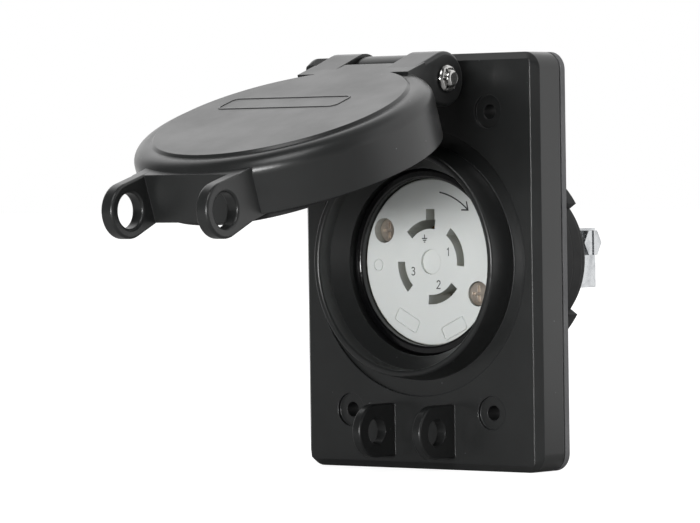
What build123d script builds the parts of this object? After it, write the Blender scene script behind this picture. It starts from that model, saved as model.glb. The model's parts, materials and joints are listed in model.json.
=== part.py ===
# Four-wire locking receptacle on a flip-lid, weather-tight cover plate.
#
# Frame: millimetres.  +X is right and +Z is up for someone facing the plate, and the viewer
# stands on the -Y side.  The origin is the centre of the four box screws, in the plane where
# the box gasket meets the box, so everything at positive Y reaches into the box.
from build123d import *
import math
import os

# ---------------------------------------------------------------- cover plate
plate_width = 84.0
plate_height = 115.8
plate_corner = 5.0
plate_depth = 11.6
front_wall = 4.0
front_bevel = 2.0
front_corner = 0.8
back_rebate = 0.8
box_gasket_thickness = 1.8
box_screw_across = 50.5
box_screw_up = 83.3
box_screw_hole_radius = 2.1
box_screw_seat_radius = 4.7
box_screw_seat_depth = 1.0
pocket_rim = 6.0
pocket_height = 74.0
pocket_corner = 20.0
end_pocket_width = 32.0
end_pocket_rim = 4.5
end_pocket_gap = 4.0

# ---------------------------------------------------------------- collar
collar_proud = 7.5
collar_lip_outer = 31.9
collar_base_outer = 33.0
collar_mouth_radius = 30.0
collar_mouth_depth = 5.0
collar_slope_depth = 4.0
collar_lip_round = 0.7
moat_radius = 37.5
moat_depth = 1.0
boss_back_gap = 2.2

# ---------------------------------------------------------------- receptacle
face_radius = 23.4
face_setback = 5.6
face_thickness = 5.8
face_edge_round = 0.5
face_boss_radius = 16.0
face_boss_depth = 4.0
face_boss_clearance = 0.1
ring_clearance = 0.1
ring_wall = 2.6
ring_proud = 2.2
throat_clearance = 0.2
slot_inner = 9.3
slot_outer = 11.9
ground_leg_width = 3.1
ground_leg_tip = 14.8
face_dimple_radius = 3.5
face_dimple_depth = 0.9
flange_radius = 30.2
flange_thickness = 3.2
flange_seal_inner = 27.2
body_radius = 26.0
body_length = 22.9
lobe_radius = 28.8
lobe_thickness = 4.0
lobe_gap_deg = 66.0
rear_cover_radius = 22.2
rear_cover_length = 7.5
rear_cover_round = 1.5

# ---------------------------------------------------------------- contacts and terminals
leaf_thickness = 0.8
leaf_gap = 0.1
leaf_length = 17.0
leaf_top_gap = 0.3
ground_leaf_first_deg = 102.0
pole_pocket_clearance = 0.5
tab_width = 8.0
tab_thickness = 1.2
tab_reach = 23.0
tab_clearance = 0.3
clamp_thickness = 1.6
clamp_wire_gap = 2.0
terminal_screw_radius = 1.75
terminal_head_radius = 3.0
terminal_head_height = 2.2
terminal_screw_at = 17.6
terminal_screw_bite = 3.0
terminal_access_clearance = 0.4
driver_slot_width = 0.9
driver_slot_depth = 1.0
wire_hole_radius = 2.8
wire_hole_at = 10.5

# ---------------------------------------------------------------- screws that join the receptacle
screw_clearance = 0.05
assembly_screw_at = 18.9
assembly_screw_deg = 152.0
assembly_screw_radius = 1.75
assembly_head_radius = 3.25
assembly_head_height = 2.6
assembly_well_radius = 3.5
deep_well_depth = 5.0
shallow_well_depth = 3.1
assembly_screw_bite = 8.0
screw_end_gap = 0.5
clamp_ring_thickness = 2.4
clamp_ring_clearance = 0.3
clamp_ring_outer = 33.5
clamp_ring_ear = 5.0
ring_screw_at = 38.0
ring_screw_radius = 1.75
ring_head_radius = 3.25
ring_head_height = 2.2
ring_screw_bite = 6.0
post_radius = 4.0

# ---------------------------------------------------------------- earth strap at the back
strap_thickness = 1.2
strap_foot_width = 8.0
strap_foot_length = 18.0
strap_leg_width = 17.0
strap_leg_x = 17.3
strap_leg_length = 10.5
strap_bend = 2.0
strap_screw_radius = 1.5
strap_head_radius = 2.6
strap_head_height = 1.8
strap_screw_inset = 3.2
strap_screw_spacing = 8.0
strap_screw_bite = 5.0
earth_screw_radius = 2.0
earth_head_flats = 7.0
earth_head_height = 2.4
earth_screw_length = 6.0
earth_screw_up = 4.3
earth_screw_back = 6.3

# ---------------------------------------------------------------- hinge
hinge_up = 50.8
hinge_proud = 11.0
hinge_pin_radius = 2.4
pin_running_clearance = 0.06
barrel_radius = 6.8
barrel_width = 17.0
arm_radius = 7.6
arm_width = 10.8
hinge_side_gap = 0.4
pin_overhang = 2.7
push_nut_radius = 3.9
push_nut_thickness = 1.1
push_nut_gap = 0.3
pin_end_round = 1.0

# ---------------------------------------------------------------- lid, drawn shut
lid_radius = 41.5
lid_above_collar_centre = 3.0
lid_wall = 2.6
lid_skirt = 16.0
lid_top_proud = 18.2
lid_edge_round = 4.5
lid_disc_inset = 5.6
lid_disc_step = 0.8
lid_inner_round = 1.5
arm_root = 10.0
arm_root_height = 2.4
arm_root_depth = 9.0
barrel_notch_clearance = 0.5
bridge_depth = 6.0
bridge_length = 8.0
liner_clearance = 0.1
liner_wall = 2.2
liner_corner = 1.4
liner_floor = 1.8
liner_root = 0.35  # how far the rings reach into the floor
liner_ring_clearance = 0.3
liner_hinge_rise = 4.6
liner_foot_gap = 0.4
bead_inner = 29.4
bead_outer = 32.4
seal_gap = 0.3
ear_inner = 14.6
ear_thickness = 4.2
ear_radius = 7.5
ear_hole_radius = 4.75
ear_edge_round = 0.8
arm_edge_round = 1.0
lug_edge_round = 0.6
barrel_edge_round = 0.6
nose_lug_gap = 0.5
nose_top_setback = 3.1
nose_height = 13.4
lid_open_deg = 71.0

# ---------------------------------------------------------------- padlock lugs on the plate
lug_down = 47.0
lug_proud = 8.0
lug_radius = 7.5
lug_hole_radius = 3.8
lug_inner = 9.2
lug_thickness = 3.0

# ---------------------------------------------------------------- worked-out places along Y
plate_back = -box_gasket_thickness
plate_front = plate_back - plate_depth
collar_lip = plate_front - collar_proud
boss_back = plate_back - boss_back_gap
face_front = plate_front + face_setback
face_back = face_front + face_thickness
flange_back = face_back + flange_thickness
body_back = flange_back + body_length
lobe_back = body_back + lobe_thickness
rear_cover_back = lobe_back + rear_cover_length
clamp_ring_back = flange_back + clamp_ring_thickness
ring_inner = face_radius + ring_clearance
ring_outer = ring_inner + ring_wall
throat_radius = ring_outer + throat_clearance
pocket_width = plate_width - 2 * pocket_rim
hinge_y = plate_front - hinge_proud
lug_y = plate_front - lug_proud
lid_top = plate_front - lid_top_proud
lid_ceiling = lid_top + lid_wall
lid_skirt_end = lid_top + lid_skirt
liner_radius = lid_radius - lid_wall - liner_clearance
liner_ring_outer = liner_radius - lid_above_collar_centre - liner_ring_clearance
liner_foot = plate_front + moat_depth - liner_foot_gap
arm_inner = barrel_width / 2 + hinge_side_gap
arm_outer = arm_inner + arm_width
pin_half = arm_outer + pin_overhang
hinge_axis = Axis((0, hinge_y, hinge_up), (-1, 0, 0))
leaf_inner = slot_inner - leaf_gap - leaf_thickness
leaf_outer = slot_outer + leaf_gap + leaf_thickness
tab_back = face_back + leaf_length
tab_front = tab_back - tab_thickness
clamp_back = tab_back + clamp_wire_gap + clamp_thickness
nose_end = lug_radius - lug_down + nose_lug_gap
bridge_end = hinge_up - barrel_radius - barrel_notch_clearance

# Each pole: first and last angle of its curved blade slot, and the angle of its terminal.
poles = {
    "contact_ground": (81.0, 135.0, 108.0),
    "contact_line_1": (-6.0, 53.0, 45.0),
    "contact_line_2": (-95.0, -39.0, -67.0),
    "contact_line_3": (180.0, 225.0, 202.5),
}
terminal_angles = [terminal for _, _, terminal in poles.values()]
ring_post_angles = (45.0, 135.0, 225.0, 315.0)
assembly_wells = {assembly_screw_deg: deep_well_depth, assembly_screw_deg - 180: shallow_well_depth}
strap_first_screw = strap_leg_x - strap_foot_length + strap_screw_inset
strap_screw_places = ((strap_first_screw, 0), (strap_first_screw + strap_screw_spacing, 0))


def facing(y):
    """Plane across Y at this depth: its x is +X, its y is +Z and it looks at the viewer."""
    return Plane(origin=(0, y, 0), x_dir=(1, 0, 0), z_dir=(0, -1, 0))


def across(x):
    """Plane across X at this place: its x is +Y, its y is +Z and it looks along +X."""
    return Plane(origin=(x, 0, 0), x_dir=(0, 1, 0), z_dir=(1, 0, 0))


def on_circle(radius, degrees):
    """Point on a circle about the receptacle's centre, as (x, z)."""
    return (radius * math.cos(math.radians(degrees)), radius * math.sin(math.radians(degrees)))


def sector(inner, outer, first, last):
    """Ring sector between two radii and two angles, as a sketch for the open sketch block."""
    with BuildLine() as outline:
        near = CenterArc((0, 0), inner, first, last - first)
        far = CenterArc((0, 0), outer, first, last - first)
        Line(near @ 0, far @ 0)
        Line(near @ 1, far @ 1)
    make_face(outline.edges())


def turned(*points):
    """Closed outline of (radius, y) points, for turning about the Y axis."""
    with BuildLine() as outline:
        Polyline(*points, close=True)
    make_face(outline.edges())


def round_edges(builder, radius):
    """All circular edges of one radius on the part being built."""
    circles = builder.edges().filter_by(GeomType.CIRCLE)
    return circles.filter_by(lambda edge: abs(edge.radius - radius) < 0.01)


def save(part, name):
    """Label a finished piece and write it as its own STEP file."""
    part.label = name
    export_step(part, f"parts/{name}.step")


os.makedirs("parts", exist_ok=True)

# ================================================================ cover plate
with BuildPart() as cover_plate:
    with BuildSketch(facing(plate_back)):
        RectangleRounded(plate_width, plate_height, plate_corner)
    extrude(amount=plate_depth - front_bevel)
    # The bevel narrows at the corners, where the front face is nearly square.
    with BuildSketch(facing(plate_front + front_bevel)):
        RectangleRounded(plate_width, plate_height, plate_corner)
    with BuildSketch(facing(plate_front)):
        RectangleRounded(
            plate_width - 2 * front_bevel, plate_height - 2 * front_bevel, front_corner
        )
    loft(ruled=True)
    # A small rebate round the back edge leaves the dark line beside the gasket.
    with BuildSketch(facing(plate_back)):
        RectangleRounded(plate_width, plate_height, plate_corner)
        RectangleRounded(
            plate_width - 2 * back_rebate,
            plate_height - 2 * back_rebate,
            plate_corner - back_rebate,
            mode=Mode.SUBTRACT,
        )
    extrude(amount=back_rebate, mode=Mode.SUBTRACT)
    # Hollow back: one large pocket behind the receptacle and one behind each end.
    with BuildSketch(facing(plate_back)):
        RectangleRounded(pocket_width, pocket_height, pocket_corner)
    extrude(amount=plate_depth - front_wall, mode=Mode.SUBTRACT)
    end_pocket_height = (plate_height - pocket_height) / 2 - end_pocket_rim - end_pocket_gap
    end_pocket_centre = (pocket_height + end_pocket_height) / 2 + end_pocket_gap
    with BuildSketch(facing(plate_back)):
        with Locations((0, end_pocket_centre), (0, -end_pocket_centre)):
            RectangleRounded(end_pocket_width, end_pocket_height, end_pocket_height / 4)
    extrude(amount=plate_depth - front_wall, mode=Mode.SUBTRACT)
    # Shallow moat round the foot of the collar.
    with BuildSketch(facing(plate_front)):
        Circle(moat_radius)
    extrude(amount=-moat_depth, mode=Mode.SUBTRACT)
    with BuildSketch(facing(plate_front)):
        Circle(collar_base_outer - 1)
    extrude(amount=-plate_depth, mode=Mode.SUBTRACT)
    # Collar, throat and the boss behind them, turned in one piece.
    with BuildSketch(Plane.XY):
        turned(
            (throat_radius, boss_back),
            (collar_base_outer, boss_back),
            (collar_base_outer, plate_front),
            (collar_lip_outer, collar_lip),
            (collar_mouth_radius, collar_lip),
            (collar_mouth_radius, collar_lip + collar_mouth_depth),
            (throat_radius, collar_lip + collar_mouth_depth + collar_slope_depth),
        )
    revolve(axis=Axis.Y)
    lip = cover_plate.edges().filter_by(GeomType.CIRCLE).group_by(Axis.Y)[0]
    fillet(lip, radius=collar_lip_round)
    # Posts for the screws of the clamp ring.
    with BuildSketch(facing(flange_back)):
        with PolarLocations(ring_screw_at, len(ring_post_angles), start_angle=ring_post_angles[0]):
            Circle(post_radius)
    extrude(amount=flange_back - plate_front - front_wall)
    with BuildSketch(facing(flange_back)):
        with PolarLocations(ring_screw_at, len(ring_post_angles), start_angle=ring_post_angles[0]):
            Circle(ring_screw_radius + screw_clearance)
    extrude(amount=ring_screw_bite, mode=Mode.SUBTRACT)
    # Counterbored holes for the four box screws.
    with Locations(facing(plate_front)):
        with GridLocations(box_screw_across, box_screw_up, 2, 2):
            CounterBoreHole(box_screw_hole_radius, box_screw_seat_radius, box_screw_seat_depth)
    # Hinge barrel on its pedestal.
    with BuildSketch(across(0)):
        with Locations((hinge_y, hinge_up)):
            Circle(barrel_radius)
        with Locations(((hinge_y + plate_front) / 2, hinge_up)):
            Rectangle(hinge_proud, 2 * barrel_radius)
    extrude(amount=barrel_width / 2, both=True)
    with BuildSketch(across(0)):
        with Locations((hinge_y, hinge_up)):
            Circle(hinge_pin_radius + pin_running_clearance)
    extrude(amount=barrel_width / 2, both=True, mode=Mode.SUBTRACT)
    # Two padlock lugs.
    for side in (-1, 1):
        with BuildSketch(across(side * lug_inner)):
            with Locations((lug_y, -lug_down)):
                Circle(lug_radius)
            with Locations(((lug_y + plate_front) / 2, -lug_down)):
                Rectangle(lug_proud, 2 * lug_radius)
            with Locations((lug_y, -lug_down)):
                Circle(lug_hole_radius, mode=Mode.SUBTRACT)
        extrude(amount=side * lug_thickness)
    fillet(round_edges(cover_plate, barrel_radius), radius=barrel_edge_round)
    fillet(round_edges(cover_plate, lug_radius), radius=lug_edge_round)
save(cover_plate.part, "cover_plate")

with BuildPart() as box_gasket:
    with BuildSketch(facing(0)):
        RectangleRounded(plate_width, plate_height, plate_corner)
        RectangleRounded(pocket_width, pocket_height, pocket_corner, mode=Mode.SUBTRACT)
        with GridLocations(box_screw_across, box_screw_up, 2, 2):
            Circle(box_screw_hole_radius, mode=Mode.SUBTRACT)
    extrude(amount=box_gasket_thickness)
save(box_gasket.part, "box_gasket")

# ================================================================ receptacle front
with BuildPart() as receptacle_face:
    with BuildSketch(facing(face_back)):
        Circle(face_radius)
    extrude(amount=face_thickness)
    fillet(receptacle_face.edges().sort_by(Axis.Y)[0], radius=face_edge_round)
    # A boss reaches back into the body, so that the blade slots are deep.
    with BuildSketch(facing(face_back)):
        Circle(face_boss_radius)
    extrude(amount=-face_boss_depth)
    with BuildSketch(facing(face_front)):
        for first, last, _ in poles.values():
            sector(slot_inner, slot_outer, first, last)
        leg_length = ground_leg_tip - slot_inner
        with Locations((0, slot_inner + leg_length / 2)):
            Rectangle(ground_leg_width, leg_length)
    extrude(amount=-face_thickness - face_boss_depth, mode=Mode.SUBTRACT)
    with BuildSketch(facing(face_front)):
        Circle(face_dimple_radius)
    extrude(amount=-face_dimple_depth, mode=Mode.SUBTRACT)
    for degrees, depth in assembly_wells.items():
        with Locations(facing(face_front)):
            with Locations(on_circle(assembly_screw_at, degrees)):
                CounterBoreHole(assembly_screw_radius + screw_clearance, assembly_well_radius, depth)
save(receptacle_face.part, "receptacle_face")

with BuildPart() as face_ring:
    with BuildSketch(facing(face_back)):
        Circle(ring_outer)
        Circle(ring_inner, mode=Mode.SUBTRACT)
    extrude(amount=face_thickness + ring_proud)
    fillet(face_ring.faces().sort_by(Axis.Y)[0].edges(), radius=ring_wall / 4)
save(face_ring.part, "face_ring")

with BuildPart() as flange_seal:
    with BuildSketch(facing(face_back)):
        Circle(flange_radius)
        Circle(flange_seal_inner, mode=Mode.SUBTRACT)
    extrude(amount=face_back - boss_back)
save(flange_seal.part, "flange_seal")

# ================================================================ receptacle body
with BuildPart() as receptacle_body:
    with BuildSketch(facing(face_back)):
        Circle(flange_radius)
    extrude(amount=-flange_thickness)
    with BuildSketch(facing(flange_back)):
        Circle(body_radius)
    extrude(amount=-body_length)
    # A recess for the boss of the face.
    with BuildSketch(facing(face_back)):
        Circle(face_boss_radius + face_boss_clearance)
    extrude(amount=-face_boss_depth - face_boss_clearance, mode=Mode.SUBTRACT)
    # One deep pocket for each contact, and one for the long leg of the earth blade.
    with BuildSketch(facing(face_back)):
        for first, last, _ in poles.values():
            margin = math.degrees(pole_pocket_clearance / slot_inner)
            sector(
                leaf_inner - pole_pocket_clearance,
                leaf_outer + pole_pocket_clearance,
                first - margin,
                last + margin,
            )
        with Locations((0, (slot_inner + ground_leg_tip + pole_pocket_clearance) / 2)):
            Rectangle(ground_leg_width, ground_leg_tip + pole_pocket_clearance - slot_inner)
    extrude(amount=-leaf_length, mode=Mode.SUBTRACT)
    # Terminal bays, open to the back and the side, whose floors carry the contact tabs.
    with BuildSketch(facing(body_back)):
        for terminal in terminal_angles:
            with Locations(Rotation(0, 0, terminal)):
                with Locations(((leaf_inner + flange_radius) / 2, 0)):
                    Rectangle(flange_radius - leaf_inner, tab_width + 2 * tab_clearance)
    extrude(amount=body_back - tab_front, mode=Mode.SUBTRACT)
    with BuildSketch(facing(tab_front)):
        for terminal in terminal_angles:
            with Locations(on_circle(terminal_screw_at, terminal)):
                Circle(terminal_screw_radius + screw_clearance)
    extrude(amount=terminal_screw_bite + screw_end_gap, mode=Mode.SUBTRACT)
    for degrees in assembly_wells:
        with Locations(facing(face_back)):
            with Locations(on_circle(assembly_screw_at, degrees)):
                Hole(assembly_screw_radius + screw_clearance)
save(receptacle_body.part, "receptacle_body")

with BuildPart() as rear_cover:
    with BuildSketch(facing(body_back)):
        Circle(body_radius)
        for side_deg in (90.0, 270.0):
            half = 90.0 - lobe_gap_deg / 2
            sector(body_radius / 2, lobe_radius, side_deg - half, side_deg + half)
    extrude(amount=-lobe_thickness)
    with BuildSketch(facing(lobe_back)):
        Circle(rear_cover_radius)
    extrude(amount=-rear_cover_length)
    fillet(rear_cover.edges().filter_by(GeomType.CIRCLE).sort_by(Axis.Y)[-1], radius=rear_cover_round)
    # A driver hole over each terminal screw and a wire hole beside it.
    with Locations(facing(body_back)):
        for terminal in terminal_angles:
            with Locations(on_circle(terminal_screw_at, terminal)):
                Hole(terminal_head_radius + terminal_access_clearance)
            with Locations(on_circle(wire_hole_at, terminal)):
                Hole(wire_hole_radius)
    with BuildSketch(facing(body_back)):
        for degrees in assembly_wells:
            with Locations(on_circle(assembly_screw_at, degrees)):
                Circle(assembly_screw_radius + screw_clearance)
    extrude(amount=-assembly_screw_bite - screw_end_gap, mode=Mode.SUBTRACT)
    # Pilot holes for the screws of the earth strap.
    with BuildSketch(facing(rear_cover_back)):
        with Locations(*strap_screw_places):
            Circle(strap_screw_radius + screw_clearance)
    extrude(amount=strap_screw_bite + screw_end_gap, mode=Mode.SUBTRACT)
save(rear_cover.part, "rear_cover")

with BuildPart() as clamp_ring:
    with BuildSketch(facing(flange_back)):
        Circle(clamp_ring_outer)
        for degrees in ring_post_angles:
            with Locations(Rotation(0, 0, degrees)):
                with Locations((ring_screw_at / 2, 0)):
                    Rectangle(ring_screw_at, 2 * clamp_ring_ear)
                with Locations((ring_screw_at, 0)):
                    Circle(clamp_ring_ear)
        Circle(body_radius + clamp_ring_clearance, mode=Mode.SUBTRACT)
        with PolarLocations(ring_screw_at, len(ring_post_angles), start_angle=ring_post_angles[0]):
            Circle(ring_screw_radius + screw_clearance, mode=Mode.SUBTRACT)
    extrude(amount=-clamp_ring_thickness)
save(clamp_ring.part, "clamp_ring")

# ================================================================ contacts and terminals
for pole, (first, last, terminal) in poles.items():
    outer_first = ground_leaf_first_deg if pole == "contact_ground" else first
    with BuildPart() as contact:
        with BuildSketch(facing(tab_back)):
            sector(leaf_inner, leaf_outer, first, last)
            with Locations(Rotation(0, 0, terminal)):
                with Locations(((slot_outer + tab_reach) / 2, 0)):
                    Rectangle(tab_reach - slot_outer, tab_width)
            with Locations(on_circle(terminal_screw_at, terminal)):
                Circle(terminal_screw_radius + screw_clearance, mode=Mode.SUBTRACT)
        extrude(amount=tab_thickness)
        # The two leaves that grip the blade from inside and outside.
        with BuildSketch(facing(tab_front)):
            sector(leaf_inner, leaf_inner + leaf_thickness, first, last)
            sector(leaf_outer - leaf_thickness, leaf_outer, outer_first, last)
        extrude(amount=leaf_length - tab_thickness - face_boss_depth - leaf_top_gap)
    save(contact.part, pole)

with BuildPart() as terminal_clamps:
    with BuildSketch(facing(clamp_back)):
        for terminal in terminal_angles:
            with Locations(Rotation(0, 0, terminal)):
                with Locations((terminal_screw_at, 0)):
                    Rectangle(tab_width, tab_width)
                    Circle(terminal_screw_radius + screw_clearance, mode=Mode.SUBTRACT)
    extrude(amount=clamp_thickness)
save(terminal_clamps.part, "terminal_clamps")

with BuildPart() as terminal_screws:
    with BuildSketch(facing(clamp_back)):
        for terminal in terminal_angles:
            with Locations(on_circle(terminal_screw_at, terminal)):
                Circle(terminal_head_radius)
    extrude(amount=-terminal_head_height)
    with BuildSketch(facing(clamp_back)):
        for terminal in terminal_angles:
            with Locations(on_circle(terminal_screw_at, terminal)):
                Circle(terminal_screw_radius)
    extrude(amount=clamp_back - tab_front + terminal_screw_bite)
    with BuildSketch(facing(clamp_back + terminal_head_height)):
        for terminal in terminal_angles:
            with Locations(Rotation(0, 0, terminal)):
                with Locations((terminal_screw_at, 0)):
                    Rectangle(2 * terminal_head_radius, driver_slot_width)
    extrude(amount=driver_slot_depth, mode=Mode.SUBTRACT)
save(terminal_screws.part, "terminal_screws")

# ================================================================ screws through the receptacle
with BuildPart() as assembly_screws:
    for degrees, depth in assembly_wells.items():
        seat = face_front + depth
        with BuildSketch(facing(seat)):
            with Locations(on_circle(assembly_screw_at, degrees)):
                Circle(assembly_head_radius)
        extrude(amount=assembly_head_height)
        with BuildSketch(facing(seat)):
            with Locations(on_circle(assembly_screw_at, degrees)):
                Circle(assembly_screw_radius)
        extrude(amount=seat - body_back - assembly_screw_bite)
        with BuildSketch(facing(seat - assembly_head_height)):
            with Locations(on_circle(assembly_screw_at, degrees)):
                Rectangle(1.4 * assembly_head_radius, driver_slot_width)
                Rectangle(driver_slot_width, 1.4 * assembly_head_radius)
        extrude(amount=-driver_slot_depth, mode=Mode.SUBTRACT)
save(assembly_screws.part, "assembly_screws")

with BuildPart() as ring_screws:
    with BuildSketch(facing(clamp_ring_back)):
        with PolarLocations(ring_screw_at, len(ring_post_angles), start_angle=ring_post_angles[0]):
            Circle(ring_head_radius)
    extrude(amount=-ring_head_height)
    with BuildSketch(facing(clamp_ring_back)):
        with PolarLocations(ring_screw_at, len(ring_post_angles), start_angle=ring_post_angles[0]):
            Circle(ring_screw_radius)
    extrude(amount=clamp_ring_thickness + ring_screw_bite - screw_end_gap)
    with BuildSketch(facing(clamp_ring_back + ring_head_height)):
        with PolarLocations(ring_screw_at, len(ring_post_angles), start_angle=ring_post_angles[0]):
            Rectangle(2 * ring_head_radius, driver_slot_width)
    extrude(amount=driver_slot_depth, mode=Mode.SUBTRACT)
save(ring_screws.part, "ring_screws")

# ================================================================ earth strap
with BuildPart() as ground_strap:
    with BuildSketch(Plane.XY) as strap_side:
        with Locations((strap_leg_x - strap_foot_length / 2, rear_cover_back + strap_thickness / 2)):
            Rectangle(strap_foot_length, strap_thickness)
        with Locations((strap_leg_x - strap_thickness / 2, rear_cover_back + strap_leg_length / 2)):
            Rectangle(strap_thickness, strap_leg_length)
        outside = (strap_leg_x, rear_cover_back)
        inside = (strap_leg_x - strap_thickness, rear_cover_back + strap_thickness)
        fillet(strap_side.vertices().sort_by_distance(outside)[0], radius=strap_bend)
        fillet(strap_side.vertices().sort_by_distance(inside)[0], radius=strap_bend - strap_thickness)
    extrude(amount=strap_leg_width / 2, both=True)
    # The foot is narrower than the leg, so that it leaves the wire holes open.
    with BuildSketch(facing(rear_cover_back + strap_thickness)):
        with Locations((strap_leg_x - strap_bend - strap_foot_length / 2, 0)):
            Rectangle(strap_foot_length, 2 * strap_leg_width)
            Rectangle(strap_foot_length, strap_foot_width, mode=Mode.SUBTRACT)
    extrude(amount=strap_thickness, mode=Mode.SUBTRACT)
    with BuildSketch(facing(rear_cover_back + strap_thickness)):
        with Locations(*strap_screw_places):
            Circle(strap_screw_radius + screw_clearance)
    extrude(amount=strap_thickness, mode=Mode.SUBTRACT)
    with BuildSketch(across(strap_leg_x)):
        with Locations((rear_cover_back + earth_screw_back, earth_screw_up)):
            Circle(earth_screw_radius + screw_clearance)
    extrude(amount=-strap_thickness, mode=Mode.SUBTRACT)
save(ground_strap.part, "ground_strap")

with BuildPart() as strap_screws:
    strap_back = rear_cover_back + strap_thickness
    with BuildSketch(facing(strap_back)):
        with Locations(*strap_screw_places):
            Circle(strap_head_radius)
    extrude(amount=-strap_head_height)
    with BuildSketch(facing(strap_back)):
        with Locations(*strap_screw_places):
            Circle(strap_screw_radius)
    extrude(amount=strap_thickness + strap_screw_bite)
    with BuildSketch(facing(strap_back + strap_head_height)):
        with Locations(*strap_screw_places):
            Rectangle(2 * strap_head_radius, driver_slot_width)
    extrude(amount=driver_slot_depth, mode=Mode.SUBTRACT)
save(strap_screws.part, "strap_screws")

with BuildPart() as ground_screw:
    earth_screw_place = (rear_cover_back + earth_screw_back, earth_screw_up)
    with BuildSketch(across(strap_leg_x)):
        with Locations(earth_screw_place):
            RegularPolygon(earth_head_flats / 2, 6, major_radius=False)
    extrude(amount=earth_head_height)
    with BuildSketch(across(strap_leg_x)):
        with Locations(earth_screw_place):
            Circle(earth_screw_radius)
    extrude(amount=-earth_screw_length)
    with BuildSketch(across(strap_leg_x + earth_head_height)):
        with Locations(earth_screw_place):
            Rectangle(driver_slot_width, 2 * earth_head_flats)
    extrude(amount=-driver_slot_depth, mode=Mode.SUBTRACT)
save(ground_screw.part, "ground_screw")

# ================================================================ hinge pin
with BuildPart() as hinge_pin:
    with BuildSketch(across(-pin_half)):
        with Locations((hinge_y, hinge_up)):
            Circle(hinge_pin_radius)
    extrude(amount=2 * pin_half)
    fillet(hinge_pin.edges().filter_by(GeomType.CIRCLE), radius=pin_end_round)
save(hinge_pin.part, "hinge_pin")

with BuildPart() as push_nuts:
    for side in (-1, 1):
        with BuildSketch(across(side * (arm_outer + push_nut_gap))):
            with Locations((hinge_y, hinge_up)):
                Circle(push_nut_radius)
                Circle(hinge_pin_radius + screw_clearance, mode=Mode.SUBTRACT)
        extrude(amount=side * push_nut_thickness)
save(push_nuts.part, "push_nuts")

# ================================================================ lid, drawn shut and then opened
lid_centre = Plane.XY.offset(lid_above_collar_centre)
lid_turning_axis = Axis((0, 0, lid_above_collar_centre), (0, 1, 0))
with BuildPart() as hinge_arm:
    with BuildSketch(across(arm_inner)):
        with Locations((hinge_y, hinge_up)):
            Circle(arm_radius)
        with Locations((lid_top + arm_root_depth / 2, hinge_up - arm_root)):
            Rectangle(arm_root_depth, arm_root_height)
        make_hull()
    extrude(amount=arm_width)
    fillet(hinge_arm.faces().sort_by(Axis.X)[-1].edges(), radius=arm_edge_round)

with BuildPart() as padlock_ear:
    with BuildSketch(across(ear_inner)):
        with Locations((lug_y, -lug_down)):
            Circle(ear_radius)
        with Locations((lid_top + nose_top_setback + nose_height / 2, nose_end)):
            Rectangle(nose_height, lug_radius)
        make_hull()
        with Locations((lug_y, -lug_down)):
            Circle(ear_hole_radius, mode=Mode.SUBTRACT)
    extrude(amount=ear_thickness)
    fillet(padlock_ear.faces().sort_by(Axis.X)[-1].edges(), radius=ear_edge_round)
    fillet(padlock_ear.faces().sort_by(Axis.X)[0].edges(), radius=ear_edge_round)

# The shell and one arm and ear are made on the right, and the left half is their mirror image.
with BuildPart() as flip_lid:
    # The top is a disc that stands a step above a rounded shoulder.
    disc_foot = lid_radius - lid_disc_inset
    with BuildSketch(lid_centre) as lid_section:
        turned(
            (0, lid_top),
            (disc_foot - lid_disc_step, lid_top),
            (disc_foot, lid_top + lid_disc_step),
            (lid_radius, lid_top + lid_disc_step),
            (lid_radius, lid_skirt_end),
            (0, lid_skirt_end),
        )
        rim_corner = (lid_radius, lid_top + lid_disc_step)
        fillet(lid_section.vertices().sort_by_distance(rim_corner)[0], radius=lid_edge_round)
    revolve(axis=lid_turning_axis)
    # A square nose at the far end, for the padlock ears to stand on.
    with BuildSketch(facing(lid_top + nose_top_setback + nose_height)):
        with Locations((0, (nose_end + lid_above_collar_centre) / 2)):
            Rectangle(2 * (ear_inner + ear_thickness), lid_above_collar_centre - nose_end)
    extrude(amount=nose_height)
    # A bridge between the arms carries the flat top right up to the barrel.
    with BuildSketch(facing(lid_top + bridge_depth)):
        with Locations((0, bridge_end - bridge_length / 2)):
            Rectangle(2 * arm_outer, bridge_length)
    extrude(amount=bridge_depth)
    add(hinge_arm.part)
    add(padlock_ear.part)
    # Hollow inside.
    with BuildSketch(lid_centre) as hollow_section:
        turned(
            (0, lid_ceiling),
            (lid_radius - lid_wall, lid_ceiling),
            (lid_radius - lid_wall, 0),
            (0, 0),
        )
        fillet(
            hollow_section.vertices().sort_by_distance((lid_radius - lid_wall, lid_ceiling))[0],
            radius=lid_inner_round,
        )
    revolve(axis=lid_turning_axis, mode=Mode.SUBTRACT)
    # Room for the barrel between the arms, and the bore for the pin.
    with BuildSketch(across(0)):
        with Locations((hinge_y, hinge_up)):
            Rectangle(2 * lid_skirt + 2 * arm_radius, 2 * (barrel_radius + barrel_notch_clearance))
    extrude(amount=arm_inner, both=True, mode=Mode.SUBTRACT)
    with BuildSketch(across(0)):
        with Locations((hinge_y, hinge_up)):
            Circle(hinge_pin_radius + pin_running_clearance)
    extrude(amount=arm_outer, both=True, mode=Mode.SUBTRACT)
    split(bisect_by=Plane.YZ)
    mirror(about=Plane.YZ)
save(flip_lid.part.rotate(hinge_axis, lid_open_deg), "flip_lid")

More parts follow.
